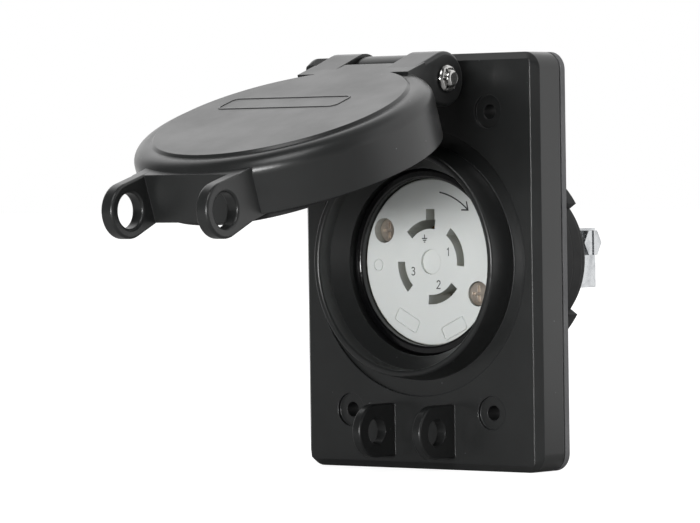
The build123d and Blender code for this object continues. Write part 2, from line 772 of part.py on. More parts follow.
with BuildPart() as lid_gasket:
    with BuildSketch(lid_centre) as liner_section:
        turned(
            (0, lid_ceiling),
            (liner_radius, lid_ceiling),
            (liner_radius, lid_ceiling + liner_floor),
            (0, lid_ceiling + liner_floor),
        )
        chamfer(
            liner_section.vertices().sort_by_distance((liner_radius, lid_ceiling))[0],
            length=liner_corner,
        )
    revolve(axis=lid_turning_axis)
    # The ring stands in the moat round the collar when the lid is shut.
    with BuildSketch(facing(liner_foot)):
        Circle(liner_ring_outer)
        Circle(liner_ring_outer - liner_wall, mode=Mode.SUBTRACT)
    extrude(amount=liner_foot - lid_ceiling - liner_floor + liner_root)
    # Its foot slopes, so that the hinge side clears the collar as the lid swings.
    with BuildSketch(across(0)):
        with BuildLine() as foot_slope:
            Polyline(
                (liner_foot, -liner_radius),
                (liner_foot - liner_hinge_rise, liner_radius),
                (liner_foot, liner_radius),
                close=True,
            )
        make_face(foot_slope.edges())
    extrude(amount=liner_radius, both=True, mode=Mode.SUBTRACT)
    with BuildSketch(facing(collar_lip - seal_gap)):
        Circle(bead_outer)
        Circle(bead_inner, mode=Mode.SUBTRACT)
    extrude(amount=collar_lip - seal_gap - lid_ceiling - liner_floor + liner_root)
save(lid_gasket.part.rotate(hinge_axis, lid_open_deg), "lid_gasket")
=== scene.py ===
# %% [markdown]
# # A locking receptacle under a flip lid
# This notebook gives an already engineered model its looks. The model comes as a fixed frame:
# every moulded piece, screw and contact has its true size and place, in metres. The cells below
# add the studio, one material for each real material, and the small pieces that a mould, a press
# or a printing pad makes. Run the cells in order.

# %% Load the fixed frame
import json
import math

import bmesh
import bpy
from mathutils import Matrix, Vector


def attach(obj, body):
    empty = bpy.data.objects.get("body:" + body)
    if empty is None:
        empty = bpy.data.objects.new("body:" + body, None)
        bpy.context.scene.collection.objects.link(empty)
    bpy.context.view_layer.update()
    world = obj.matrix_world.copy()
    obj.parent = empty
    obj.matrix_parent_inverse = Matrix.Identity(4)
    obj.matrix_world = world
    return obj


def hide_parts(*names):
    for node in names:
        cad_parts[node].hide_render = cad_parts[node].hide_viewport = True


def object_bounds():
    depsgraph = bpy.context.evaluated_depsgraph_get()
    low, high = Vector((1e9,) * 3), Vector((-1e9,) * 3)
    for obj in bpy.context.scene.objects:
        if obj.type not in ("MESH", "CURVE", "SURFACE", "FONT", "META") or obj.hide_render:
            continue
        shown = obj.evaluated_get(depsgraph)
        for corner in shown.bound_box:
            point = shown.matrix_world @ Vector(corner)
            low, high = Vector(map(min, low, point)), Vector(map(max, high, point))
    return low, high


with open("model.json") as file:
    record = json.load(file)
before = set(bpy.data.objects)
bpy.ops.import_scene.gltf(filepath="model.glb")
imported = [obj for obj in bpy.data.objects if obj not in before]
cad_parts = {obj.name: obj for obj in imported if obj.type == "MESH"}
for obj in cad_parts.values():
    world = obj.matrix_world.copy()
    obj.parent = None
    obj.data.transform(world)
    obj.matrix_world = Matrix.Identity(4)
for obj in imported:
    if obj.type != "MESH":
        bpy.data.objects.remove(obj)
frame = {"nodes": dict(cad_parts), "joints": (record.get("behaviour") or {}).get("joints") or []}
MM = 0.001
nodes = frame["nodes"]
cad_box = [list(corner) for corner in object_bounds()]
print(len(nodes), "frame pieces in a box from", cad_box[0], "to", cad_box[1])

# %% [markdown]
# ## Two helpers for every material
# Colours are easiest to choose as the hex values that a colour picker shows, but a shader wants
# linear light, so one function converts them. A second one adds a node with its settings and
# links. A material is then a list of nodes that reads from top to bottom.

# %% Colour and node helpers
def linear(hex_colour):
    """Turns an sRGB value such as #cdd2d1 into the linear colour that a socket takes."""
    channels = [int(hex_colour[i:i + 2], 16) / 255 for i in (1, 3, 5)]
    return [c / 12.92 if c <= 0.04045 else ((c + 0.055) / 1.055) ** 2.4 for c in channels] + [1.0]


def add_node(owner, kind, inputs=None, **settings):
    """Adds one node. Each input is a value, or the output of another node, which it links."""
    node = owner.node_tree.nodes.new(kind)
    for name, value in settings.items():
        setattr(node, name, value)
    for socket, value in (inputs or {}).items():
        if isinstance(value, bpy.types.NodeSocket):
            owner.node_tree.links.new(value, node.inputs[socket])
        else:
            node.inputs[socket].default_value = value
    return node


def per_metre(size_mm):
    """Texture scale at which one blob of a pattern is this many millimetres across."""
    return 1 / (size_mm * MM)


print("mid grey #808080 is", round(linear("#808080")[0], 3), "in linear light")

# %% [markdown]
# ## The camera
# A product shot is taken from far away with a long lens, so that parallel edges stay nearly
# parallel. The camera is placed by its direction from the object: so many degrees round from
# the front, so many up, and a slight roll of the hand-held frame.

# %% Place the camera
AZIMUTH, ELEVATION, ROLL = (math.radians(d) for d in (39.72, 1.14, -0.82))
DISTANCE = 1.301
LENS_MM, SENSOR_MM = 236.5, 36.0
AIM = Vector((-0.0248, -0.0134, 0.0002))

back = Vector((
    math.sin(AZIMUTH) * math.cos(ELEVATION),
    -math.cos(AZIMUTH) * math.cos(ELEVATION),
    math.sin(ELEVATION),
))
right = Vector((math.cos(AZIMUTH), math.sin(AZIMUTH), 0))
up = back.cross(right)
rolled_right = right * math.cos(ROLL) + up * math.sin(ROLL)
rolled_up = up * math.cos(ROLL) - right * math.sin(ROLL)

camera = bpy.data.objects.new("camera", bpy.data.cameras.new("camera"))
camera.data.lens = LENS_MM
camera.data.sensor_width = SENSOR_MM
axes = Matrix((rolled_right, rolled_up, back)).transposed().to_4x4()
camera.matrix_world = Matrix.Translation(AIM + back * DISTANCE) @ axes
bpy.context.scene.collection.objects.link(camera)
bpy.context.scene.camera = camera
print("camera stands at", [round(v, 3) for v in camera.matrix_world.translation])

# %% [markdown]
# ## The studio
# Black plastic has almost no colour of its own. What the eye reads is what it mirrors: a white
# backdrop behind it, a dim room in front and a few softboxes. So the world is white behind the
# object and dim towards the camera and overhead, which leaves the faces towards the camera dark
# and gives the lid's grazing top its pale sheen. Camera rays see plain white.

# %% World
ROOM_FRONT, ROOM_BACK = 0.07, 1.0

world = bpy.data.worlds.new("studio")
bpy.context.scene.world = world
world.use_nodes = True
world.node_tree.nodes.clear()
direction = add_node(world, "ShaderNodeTexCoord")
split = add_node(world, "ShaderNodeSeparateXYZ", {0: direction.outputs["Generated"]})
behind = add_node(world, "ShaderNodeMapRange", {
    "Value": split.outputs["Y"], "From Min": -0.2, "From Max": 0.35,
    "To Min": ROOM_FRONT, "To Max": ROOM_BACK,
}, interpolation_type="SMOOTHSTEP")
overhead = add_node(world, "ShaderNodeMapRange", {
    "Value": split.outputs["Z"], "From Min": 0.75, "From Max": 0.95,
    "To Min": 1.0, "To Max": 0.4,
}, interpolation_type="SMOOTHSTEP")
room = add_node(world, "ShaderNodeMath", {
    0: behind.outputs[0], 1: overhead.outputs[0],
}, operation="MULTIPLY")
ray = add_node(world, "ShaderNodeLightPath")
level = add_node(world, "ShaderNodeMix", {
    "Factor": ray.outputs["Is Camera Ray"], 2: room.outputs[0], 3: 1.0,
}, data_type="FLOAT")
light = add_node(world, "ShaderNodeBackground", {
    "Color": linear("#ffffff"), "Strength": level.outputs[0],
})
add_node(world, "ShaderNodeOutputWorld", {"Surface": light.outputs[0]})
print("world runs from", ROOM_FRONT, "in front to", ROOM_BACK, "behind")

# %% [markdown]
# The floor is white paper. To keep it white under any lamp, a camera ray also meets light from
# the paper itself. So does a mirrored ray that lands behind the object, where a real sweep of
# paper would curve up into the backdrop. The paper's glow falls on nothing else.

# %% Floor
FLOOR_SIZE = 12.0
FLOOR_GLOW = 0.92

paper = bpy.data.materials.new("white_paper")
paper.use_nodes = True
paper.node_tree.nodes.clear()
ray = add_node(paper, "ShaderNodeLightPath")
grain = add_node(paper, "ShaderNodeTexNoise", {"Scale": per_metre(30), "Detail": 3.0})
tint = add_node(paper, "ShaderNodeMix", {
    "Factor": grain.outputs["Fac"], 6: linear("#bebebd"), 7: linear("#c3c3c3"),
}, data_type="RGBA")
matte = add_node(paper, "ShaderNodeBsdfDiffuse", {"Color": tint.outputs[2]})
point = add_node(paper, "ShaderNodeNewGeometry").outputs["Position"]
spot = add_node(paper, "ShaderNodeSeparateXYZ", {0: point})
behind = add_node(paper, "ShaderNodeMapRange", {
    "Value": spot.outputs["Y"], "From Min": -0.05, "From Max": 0.4,
}, interpolation_type="SMOOTHSTEP")
mirrored = add_node(paper, "ShaderNodeMath", {
    0: ray.outputs["Is Glossy Ray"], 1: ray.outputs["Is Transmission Ray"],
}, operation="MAXIMUM")
sweep = add_node(paper, "ShaderNodeMath", {
    0: mirrored.outputs[0], 1: behind.outputs[0],
}, operation="MULTIPLY")
either = add_node(paper, "ShaderNodeMath", {
    0: ray.outputs["Is Camera Ray"], 1: sweep.outputs[0],
}, operation="MAXIMUM")
seen = add_node(paper, "ShaderNodeMath", {0: either.outputs[0], 1: FLOOR_GLOW}, operation="MULTIPLY")
glow = add_node(paper, "ShaderNodeEmission", {"Color": linear("#ffffff"), "Strength": seen.outputs[0]})
both = add_node(paper, "ShaderNodeAddShader", {0: matte.outputs[0], 1: glow.outputs[0]})
add_node(paper, "ShaderNodeOutputMaterial", {"Surface": both.outputs[0]})

bpy.ops.mesh.primitive_plane_add(size=FLOOR_SIZE, location=(0, 0, cad_box[0][2]))
floor = bpy.context.object
floor.name = "floor"
floor.data.materials.append(paper)
print("floor lies at", round(floor.location.z, 4), "m")

# %% View settings
bpy.context.scene.view_settings.view_transform = "Standard"
print("colours leave through the", bpy.context.scene.view_settings.view_transform, "view transform")

# %% [markdown]
# A wide, low softbox stands in front at the height of the object, a little to the left of the
# camera. From there its light goes in under the open lid and fills the white face, and it draws
# thin highlights along the rounded edges. A weaker one above lights the paper in front, which
# throws that light up under the lid, and another high behind the object gives the hidden sides
# some light.

# %% Softboxes
def softbox(name, azimuth, elevation, distance, width, height, watts):
    """Adds a rectangular lamp that looks at the object's middle from this direction."""
    lamp = bpy.data.objects.new(name, bpy.data.lights.new(name, "AREA"))
    lamp.data.shape = "RECTANGLE"
    lamp.data.size, lamp.data.size_y = width, height
    lamp.data.energy = watts
    turn, tilt = math.radians(azimuth), math.radians(elevation)
    toward = Vector((math.sin(turn) * math.cos(tilt), -math.cos(turn) * math.cos(tilt), math.sin(tilt)))
    lamp.location = toward * distance
    lamp.rotation_euler = toward.to_track_quat("Z", "Y").to_euler()
    bpy.context.scene.collection.objects.link(lamp)
    print(name, "gives", watts, "W from", [round(v, 2) for v in lamp.location])


softbox("key_softbox", azimuth=11, elevation=1.5, distance=1.5, width=0.8, height=0.16, watts=14.5)
softbox("top_softbox", azimuth=20, elevation=48, distance=1.6, width=0.7, height=0.7, watts=6.5)
softbox("back_softbox", azimuth=-132, elevation=36, distance=2.2, width=2.2, height=2.2, watts=5)

# %% [markdown]
# ## How a material starts
# Every solid here has the same beginning: one shader, the point on the piece as its texture
# coordinate, and edges that a mould or a press leaves slightly round. The engineered mesh has
# sharp edges, so a bevel node rounds them in the shading alone, and the difference between the
# rounded and the true normal marks the edges, which hands and tools rub. On the black cover the
# mask also lightens the edges as a painted highlight.

# %% Material helpers
def new_material(name, roughness, ior=1.5, metallic=0.0, edge_mm=0.35):
    """Starts a material. Gives it with its shader, coordinate, rounded normal and edges."""
    material = bpy.data.materials.new(name)
    material.use_nodes = True
    shader = material.node_tree.nodes["Principled BSDF"]
    shader.inputs["Roughness"].default_value = roughness
    shader.inputs["Metallic"].default_value = metallic
    shader.inputs["IOR"].default_value = ior
    place = add_node(material, "ShaderNodeTexCoord").outputs["Object"]
    rounded = add_node(material, "ShaderNodeBevel", {"Radius": edge_mm * MM}, samples=6).outputs[0]
    true = add_node(material, "ShaderNodeNewGeometry").outputs["Normal"]
    facing = add_node(material, "ShaderNodeVectorMath", {0: rounded, 1: true}, operation="DOT_PRODUCT")
    edges = add_node(material, "ShaderNodeMapRange", {
        "Value": facing.outputs["Value"], "From Min": 0.995, "From Max": 0.86,
    })
    return material, shader, place, rounded, edges.outputs[0]


def link(material, socket, value):
    """Feeds one socket of the material's shader."""
    material.node_tree.links.new(value, material.node_tree.nodes["Principled BSDF"].inputs[socket])


def give(material, *names):
    """Puts the material on every slot of these frame pieces."""
    for name in names:
        for slot in nodes[name].material_slots:
            slot.material = material
    print(material.name, "is on", ", ".join(names))

# %% [markdown]
# ## Black glass-filled nylon: the cover plate and the lid
# Both are injection moulded from nylon with chopped glass, in a mould whose walls were spark
# eroded. That gives a satin skin with a very fine grain, slow changes in gloss where the melt
# flowed, paler edges, and here and there a speck of dust. The paler edges are partly rubbing wear
# and partly a painted highlight along the rounded edges. An image could show one
# particular grain, but noise at the true sizes works on every side of the piece.

# %% Glass-filled nylon
GRAIN_MM, FLOW_MM, SPECK_MM = 0.7, 16.0, 5.0   # real grain is 0.1 mm, drawn coarser to show at all

glass_nylon, _, place, rounded, edges = new_material("glass_filled_nylon_black", 0.32, ior=1.55)
flow = add_node(glass_nylon, "ShaderNodeTexNoise", {
    "Vector": place, "Scale": per_metre(FLOW_MM), "Detail": 4.0, "Roughness": 0.6,
})
grain = add_node(glass_nylon, "ShaderNodeTexNoise", {
    "Vector": place, "Scale": per_metre(GRAIN_MM), "Detail": 2.0,
})
resin = add_node(glass_nylon, "ShaderNodeMix", {
    "Factor": flow.outputs["Fac"], 6: linear("#1f2020"), 7: linear("#272828"),
}, data_type="RGBA")
# Painted highlight and wear: the edges are lightened, partly as rubbing wear, partly to stand in for
# the shine of rounded edges.
rubbed_and_highlit = add_node(glass_nylon, "ShaderNodeMath", {0: edges, 1: 0.5}, operation="MULTIPLY")
worn_and_highlit = add_node(glass_nylon, "ShaderNodeMix", {
    "Factor": rubbed_and_highlit.outputs[0], 6: resin.outputs[2], 7: linear("#3d3e40"),
}, data_type="RGBA")
cells = add_node(glass_nylon, "ShaderNodeTexVoronoi", {"Vector": place, "Scale": per_metre(SPECK_MM)})
speck = add_node(glass_nylon, "ShaderNodeMapRange", {
    "Value": cells.outputs["Distance"], "From Min": 0.05, "From Max": 0.03,
})
dusty = add_node(glass_nylon, "ShaderNodeMix", {
    "Factor": speck.outputs[0], 6: worn_and_highlit.outputs[2], 7: linear("#5c5d5e"),
}, data_type="RGBA")
gloss = add_node(glass_nylon, "ShaderNodeMapRange", {
    "Value": flow.outputs["Fac"], "From Min": 0.3, "From Max": 0.7, "To Min": 0.28, "To Max": 0.36,
})
skin = add_node(glass_nylon, "ShaderNodeBump", {
    "Height": grain.outputs["Fac"], "Distance": 0.012 * MM, "Strength": 0.6, "Normal": rounded,
})
link(glass_nylon, "Base Color", dusty.outputs[2])
link(glass_nylon, "Roughness", gloss.outputs[0])
link(glass_nylon, "Normal", skin.outputs[0])
give(glass_nylon, "cover_plate", "flip_lid")

# %% [markdown]
# ## Rubber: the box gasket, and the darker liner and seal
# The box gasket is die cut from a grey cellular rubber sheet, whose cut edge is matt and open
# pored. The lid's liner and the seal under the flange are moulded from solid black rubber, which
# is smoother and holds a little dust. Two short functions would be the same function twice, so
# one makes both from their colours and pore sizes.

# %% Rubber
def rubber(name, dark, light, roughness, pore_mm, pore_depth_mm):
    """Matt rubber whose pores are this wide and deep."""
    material, _, place, rounded, _ = new_material(name, roughness, ior=1.52, edge_mm=0.25)
    pores = add_node(material, "ShaderNodeTexNoise", {
        "Vector": place, "Scale": per_metre(pore_mm), "Detail": 5.0, "Roughness": 0.7,
    })
    bloom = add_node(material, "ShaderNodeTexNoise", {
        "Vector": place, "Scale": per_metre(11), "Detail": 3.0,
    })
    mixed = add_node(material, "ShaderNodeMath", {
        0: pores.outputs["Fac"], 1: bloom.outputs["Fac"],
    }, operation="MULTIPLY")
    spread = add_node(material, "ShaderNodeMapRange", {
        "Value": mixed.outputs[0], "From Min": 0.12, "From Max": 0.4,
    })
    colour = add_node(material, "ShaderNodeMix", {
        "Factor": spread.outputs[0], 6: linear(dark), 7: linear(light),
    }, data_type="RGBA")
    bump = add_node(material, "ShaderNodeBump", {
        "Height": pores.outputs["Fac"], "Distance": pore_depth_mm * MM, "Strength": 0.8,
        "Normal": rounded,
    })
    link(material, "Base Color", colour.outputs[2])
    link(material, "Normal", bump.outputs[0])
    return material


give(rubber("cellular_rubber_grey", "#6c6c6e", "#828283", 0.78, 0.6, 0.05), "box_gasket")
give(rubber("solid_rubber_black", "#161617", "#212122", 0.55, 0.9, 0.01), "lid_gasket", "flange_seal")

# %% [markdown]
# ## White nylon: the receptacle face
# The face is unfilled white nylon, pressed against polished steel. It is slightly cool and
# milky: light goes in a little way and comes out again, which softens the edges of its slots.
# Handling leaves a faint unevenness in gloss rather than in colour. Deep in the slots and wells
# the nylon is painted a little greyer: painted shade, darker where an occlusion node finds little open
# space.

# %% White nylon
white_nylon, shader, place, rounded, _ = new_material("white_nylon", 0.38, ior=1.53, edge_mm=0.3)
shader.inputs["Subsurface Weight"].default_value = 0.12
shader.inputs["Subsurface Radius"].default_value = (1.0, 0.9, 0.8)
shader.inputs["Subsurface Scale"].default_value = 0.8 * MM
cloud = add_node(white_nylon, "ShaderNodeTexNoise", {
    "Vector": place, "Scale": per_metre(9), "Detail": 3.0,
})
milk = add_node(white_nylon, "ShaderNodeMix", {
    "Factor": cloud.outputs["Fac"], 6: linear("#e2e6e4"), 7: linear("#e8ebe9"),
}, data_type="RGBA")
polish = add_node(white_nylon, "ShaderNodeMapRange", {
    "Value": cloud.outputs["Fac"], "From Min": 0.3, "From Max": 0.7, "To Min": 0.32, "To Max": 0.44,
})
ripple = add_node(white_nylon, "ShaderNodeBump", {
    "Height": cloud.outputs["Fac"], "Distance": 0.02 * MM, "Strength": 0.5, "Normal": rounded,
})
# Painted shade: the colour greys where the occlusion node finds walls close by, deep in slots and
# wells.
hollow = add_node(white_nylon, "ShaderNodeAmbientOcclusion", {"Distance": 7 * MM}, samples=8)
open_to_light = add_node(white_nylon, "ShaderNodeMapRange", {
    "Value": hollow.outputs["AO"], "From Min": 0.0, "From Max": 0.7,
}, interpolation_type="SMOOTHSTEP")
colour_with_painted_shade = add_node(white_nylon, "ShaderNodeMix", {
    "Factor": open_to_light.outputs[0], 6: linear("#c3c5bc"), 7: milk.outputs[2],
}, data_type="RGBA")
link(white_nylon, "Base Color", colour_with_painted_shade.outputs[2])
link(white_nylon, "Roughness", polish.outputs[0])
link(white_nylon, "Normal", ripple.outputs[0])
give(white_nylon, "receptacle_face")

# %% [markdown]
# ## Polished black ABS: the ring round the face
# This ring is the only glossy plastic. Its mould was polished, so it shows the softbox as one
# small bright spot, broken by hairline scuffs from plugs that went in.

# %% Polished ABS
abs_ring, _, place, rounded, _ = new_material("polished_abs_black", 0.12, ior=1.54, edge_mm=0.25)
stretched = add_node(abs_ring, "ShaderNodeMapping", {"Vector": place, "Scale": (1, 0.12, 1)})
scuffs = add_node(abs_ring, "ShaderNodeTexNoise", {
    "Vector": stretched.outputs[0], "Scale": per_metre(0.8), "Detail": 4.0, "Roughness": 0.7,
})
ink = add_node(abs_ring, "ShaderNodeMix", {
    "Factor": scuffs.outputs["Fac"], 6: linear("#070708"), 7: linear("#0e0e0f"),
}, data_type="RGBA")
shine = add_node(abs_ring, "ShaderNodeMapRange", {
    "Value": scuffs.outputs["Fac"], "From Min": 0.5, "From Max": 0.75, "To Min": 0.1, "To Max": 0.24,
})
link(abs_ring, "Base Color", ink.outputs[2])
link(abs_ring, "Roughness", shine.outputs[0])
link(abs_ring, "Normal", rounded)
give(abs_ring, "face_ring")

# %% [markdown]
# ## Black nylon: the body behind the plate
# The body, its rear cover and the clamp ring are the hidden, unpolished mouldings. They are a
# plainer black than the plate, and their mould was only machined, so the skin is duller and
# shows wide, soft tool waves.

# %% Black nylon
body_nylon, shader, place, rounded, edges = new_material("moulded_nylon_black", 0.5, ior=1.53)
shader.inputs["Specular IOR Level"].default_value = 0.25
waves = add_node(body_nylon, "ShaderNodeTexNoise", {
    "Vector": place, "Scale": per_metre(2.5), "Detail": 3.0, "Roughness": 0.55,
})
base = add_node(body_nylon, "ShaderNodeMix", {
    "Factor": waves.outputs["Fac"], 6: linear("#101011"), 7: linear("#1a1a1b"),
}, data_type="RGBA")
scraped = add_node(body_nylon, "ShaderNodeMix", {
    "Factor": edges, 6: base.outputs[2], 7: linear("#2c2c2e"),
}, data_type="RGBA")
dull = add_node(body_nylon, "ShaderNodeMapRange", {
    "Value": waves.outputs["Fac"], "To Min": 0.42, "To Max": 0.6,
})
tooling = add_node(body_nylon, "ShaderNodeBump", {
    "Height": waves.outputs["Fac"], "Distance": 0.03 * MM, "Strength": 0.7, "Normal": rounded,
})
link(body_nylon, "Base Color", scraped.outputs[2])
link(body_nylon, "Roughness", dull.outputs[0])
link(body_nylon, "Normal", tooling.outputs[0])
give(body_nylon, "receptacle_body", "rear_cover", "clamp_ring")

# %% [markdown]
# ## Metals
# Four metal finishes share one build: a base colour with a second, slightly tarnished one, and
# fine lines in the direction in which the metal was rolled, drawn or turned. A metal is told by
# its colour and by how streaked its shine is, so those are what each call sets. The lines come
# from noise squeezed across the working direction.

# %% Metal finishes
def metal(name, bright, tarnished, roughness, line_mm, squeeze, depth_mm=0.004):
    """Metal with lines this wide, drawn out along the axes where squeeze is small."""
    material, _, place, rounded, _ = new_material(name, roughness, metallic=1.0, edge_mm=0.2)
    drawn = add_node(material, "ShaderNodeMapping", {"Vector": place, "Scale": squeeze})
    lines = add_node(material, "ShaderNodeTexNoise", {
        "Vector": drawn.outputs[0], "Scale": per_metre(line_mm), "Detail": 3.0, "Roughness": 0.6,
    })
    stain = add_node(material, "ShaderNodeTexNoise", {
        "Vector": place, "Scale": per_metre(3.5), "Detail": 4.0,
    })
    amount = add_node(material, "ShaderNodeMapRange", {
        "Value": stain.outputs["Fac"], "From Min": 0.45, "From Max": 0.75,
    })
    colour = add_node(material, "ShaderNodeMix", {
        "Factor": amount.outputs[0], 6: linear(bright), 7: linear(tarnished),
    }, data_type="RGBA")
    shine = add_node(material, "ShaderNodeMapRange", {
        "Value": lines.outputs["Fac"], "To Min": roughness * 0.7, "To Max": roughness * 1.4,
    })
    bump = add_node(material, "ShaderNodeBump", {
        "Height": lines.outputs["Fac"], "Distance": depth_mm * MM, "Strength": 0.7, "Normal": rounded,
    })
    link(material, "Base Color", colour.outputs[2])
    link(material, "Roughness", shine.outputs[0])
    link(material, "Normal", bump.outputs[0])
    return material


ALONG_X, ALONG_Y, EVEN = (0.06, 1, 1), (1, 0.06, 1), (1, 1, 1)
rolled_brass = metal("rolled_brass", "#d9b36a", "#a9834a", 0.3, 0.5, ALONG_Y)
zinc_steel = metal("zinc_plated_steel", "#cfd1d3", "#a4a6a9", 0.26, 0.9, EVEN, 0.01)
dull_brass = metal("passivated_brass", "#c9bfb4", "#96897b", 0.4, 0.4, EVEN)
stainless = metal("drawn_stainless_steel", "#d2d1cf", "#b3b2b0", 0.16, 0.35, ALONG_X)

give(rolled_brass, "contact_ground", "contact_line_1", "contact_line_2", "contact_line_3")
give(zinc_steel, "terminal_clamps", "ring_screws", "strap_screws", "ground_strap", "ground_screw")
give(dull_brass, "terminal_screws", "assembly_screws")
give(stainless, "hinge_pin", "push_nuts")

# %% [markdown]
# ## Where a mark goes
# The marks that follow are shallow. An engraved mould leaves its marks standing a hair above the
# skin, and print lies on the skin. Each is drawn flat, as strokes with a real width, and then laid
# on its surface. A matrix does the laying: its columns say where the drawing's right, its top and
# its viewer point. Strokes are easier to space and to thicken than the outlines of a typeface.

# %% Drawing helpers
FRONT = Matrix(((1, 0, 0), (0, 0, -1), (0, 1, 0)))    # read from in front, along +Y
REAR = Matrix(((-1, 0, 0), (0, 0, 1), (0, 1, 0)))     # read from behind, along -Y
FACE_Y, REAR_Y, LID_TOP_Y = -7.8, 35.6, -31.6         # the marked surfaces, in mm, lid shut
SUNK_MM = 0.02         # how far a mark's foot goes into the skin, so that no gap shows
DRAFT_SHARE = 0.12     # how far each flank leans in, as a share of the stroke's width
SHARPEST_MITRE = 0.5   # keeps the outside of a sharp corner from running away


def laid(facing, x, y, z, turn_deg=0.0):
    """Matrix that lays a drawing on a surface at this place, in mm, turned about its viewer."""
    spin = Matrix.Rotation(math.radians(turn_deg), 4, "Z")
    return Matrix.Translation(Vector((x, y, z)) * MM) @ facing.to_4x4() @ spin


def object_from(name, shape):
    """Turns finished mesh work into an object in the scene."""
    bmesh.ops.recalc_face_normals(shape, faces=shape.faces)
    mesh = bpy.data.meshes.new(name)
    shape.to_mesh(mesh)
    shape.free()
    piece = bpy.data.objects.new(name, mesh)
    bpy.context.scene.collection.objects.link(piece)
    return piece


def corner_side(points, i, closed):
    """Direction across the stroke at one of its points, and how much further a mitre reaches."""
    point, last = points[i], len(points) - 1
    before = points[i - 1] if closed or i else None
    after = points[(i + 1) % len(points)] if closed or i < last else None
    arriving = ((after - point) if before is None else (point - before)).normalized()
    leaving = arriving if after is None else (after - point).normalized()
    both = arriving + leaving
    side = Vector((-both.y, both.x, 0)).normalized()
    straightness = side.dot(Vector((-arriving.y, arriving.x, 0)))
    return side, 1 / max(SHARPEST_MITRE, straightness)


def solid_strokes(name, strokes, width_mm, height_mm, where, closed=False):
    """Makes one mesh of flat-topped bars that follow each stroke, a list of (x, y) in mm."""
    shape = bmesh.new()
    down, rise = Vector((0, 0, -SUNK_MM)), Vector((0, 0, height_mm))
    for stroke in strokes:
        points = [Vector((x, y, 0)) for x, y in stroke]
        count = len(points)
        rails = []
        for i, point in enumerate(points):
            side, mitre = corner_side(points, i, closed)
            reach, lean = side * width_mm / 2 * mitre, side * DRAFT_SHARE * width_mm
            section = (
                point + reach + down, point + reach - lean + rise,
                point - reach + lean + rise, point - reach + down,
            )
            rails.append([shape.verts.new(corner * MM) for corner in section])
        for i in range(count if closed else count - 1):
            a, b = rails[i], rails[(i + 1) % count]
            for k in range(4):
                shape.faces.new((a[k], a[(k + 1) % 4], b[(k + 1) % 4], b[k]))
        if not closed:
            shape.faces.new(rails[0])
            shape.faces.new(list(reversed(rails[-1])))
    piece = object_from(name, shape)
    piece.matrix_world = where
    return piece


def on_circle(radius, degrees):
    """The point at this angle on a circle round the origin."""
    return radius * math.cos(math.radians(degrees)), radius * math.sin(math.radians(degrees))


def arc(radius, start_deg, end_deg, steps):
    """Points along an arc round the origin."""
    return [on_circle(radius, start_deg + (end_deg - start_deg) * i / steps) for i in range(steps + 1)]


def rounded_frame(width, height, corner):
    """Outline of a rectangle with rounded corners, round the origin."""
    points = []
    for sx, sy, start in ((1, 1, 0), (-1, 1, 90), (-1, -1, 180), (1, -1, 270)):
        cx, cy = sx * (width / 2 - corner), sy * (height / 2 - corner)
        points += [(cx + x, cy + y) for x, y in arc(corner, start, start + 90, 5)]
    return points


def finish_piece(piece, material, body="base"):
    """Gives an added piece its material and its slot, and lets it ride on a frame body."""
    piece.data.materials.append(material)
    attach(piece, body)
    print(piece.name, "has", len(piece.data.polygons), "faces")


print("marks stand on y =", FACE_Y, "and", REAR_Y, "mm, and on the lid's top")

# %% [markdown]
# ## Print on the receptacle face
# A pad printer puts black ink on the nylon after moulding: a number beside each blade slot, the
# earth sign beside the earth slot, and an arrow that shows which way a plug turns to lock. The
# layer is a few hundredths of a millimetre thick, and its black is a little uneven.

# %% Printed marks
ink, _, place, _, _ = new_material("pad_printing_ink", 0.45, ior=1.5, edge_mm=0.05)
blotch = add_node(ink, "ShaderNodeTexNoise", {"Vector": place, "Scale": per_metre(0.6), "Detail": 3.0})
tone = add_node(ink, "ShaderNodeMix", {
    "Factor": blotch.outputs["Fac"], 6: linear("#26282a"), 7: linear("#3c3f41"),
}, data_type="RGBA")
link(ink, "Base Color", tone.outputs[2])

SIGNS = {   # strokes in mm, round the sign's own middle
    "1": [[(-0.45, 0.65), (0.05, 1.1), (0.05, -1.1)]],
    "2": [[
        (-0.6, 0.6), (-0.35, 1.0), (0.1, 1.1), (0.5, 0.85), (0.55, 0.4), (0.2, -0.1),
        (-0.65, -1.1), (0.65, -1.1),
    ]],
    "3": [[
        (-0.55, 0.8), (-0.15, 1.1), (0.35, 1.0), (0.5, 0.6), (0.3, 0.2), (-0.05, 0.1),
        (0.4, -0.05), (0.6, -0.5), (0.4, -0.95), (-0.1, -1.1), (-0.6, -0.8),
    ]],
    "earth": [
        [(0, 1.1), (0, 0)], [(-0.95, 0), (0.95, 0)], [(-0.6, -0.5), (0.6, -0.5)],
        [(-0.25, -1.0), (0.25, -1.0)],
    ],
}
SLOT_ANGLES = {"1": 23.5, "2": -67.0, "3": 202.5, "earth": 108.0}
SIGN_RING, INK_HEIGHT, INK_STROKE = 6.9, 0.03, 0.32

for sign, degrees in SLOT_ANGLES.items():
    x, z = on_circle(SIGN_RING, degrees)
    where = laid(FRONT, x, FACE_Y, z)
    printed = solid_strokes("printed_" + sign, SIGNS[sign], INK_STROKE, INK_HEIGHT, where)
    finish_piece(printed, ink)

TURN_RING, TURN_START, TURN_END, TURN_TIP, TURN_STROKE = 19.8, 80, 48, 47.0, 0.45
BARB_DEG, BARB_SPREAD = 5.5, 1.5
shaft = arc(TURN_RING, TURN_START, TURN_END, 16)
head = [
    on_circle(TURN_RING + BARB_SPREAD, TURN_TIP + BARB_DEG),
    on_circle(TURN_RING, TURN_TIP),
    on_circle(TURN_RING - BARB_SPREAD, TURN_TIP + BARB_DEG),
]
where = laid(FRONT, 0, FACE_Y, 0)
turn_arrow = solid_strokes("printed_turn_arrow", [shaft, head], TURN_STROKE, INK_HEIGHT, where)
finish_piece(turn_arrow, ink)

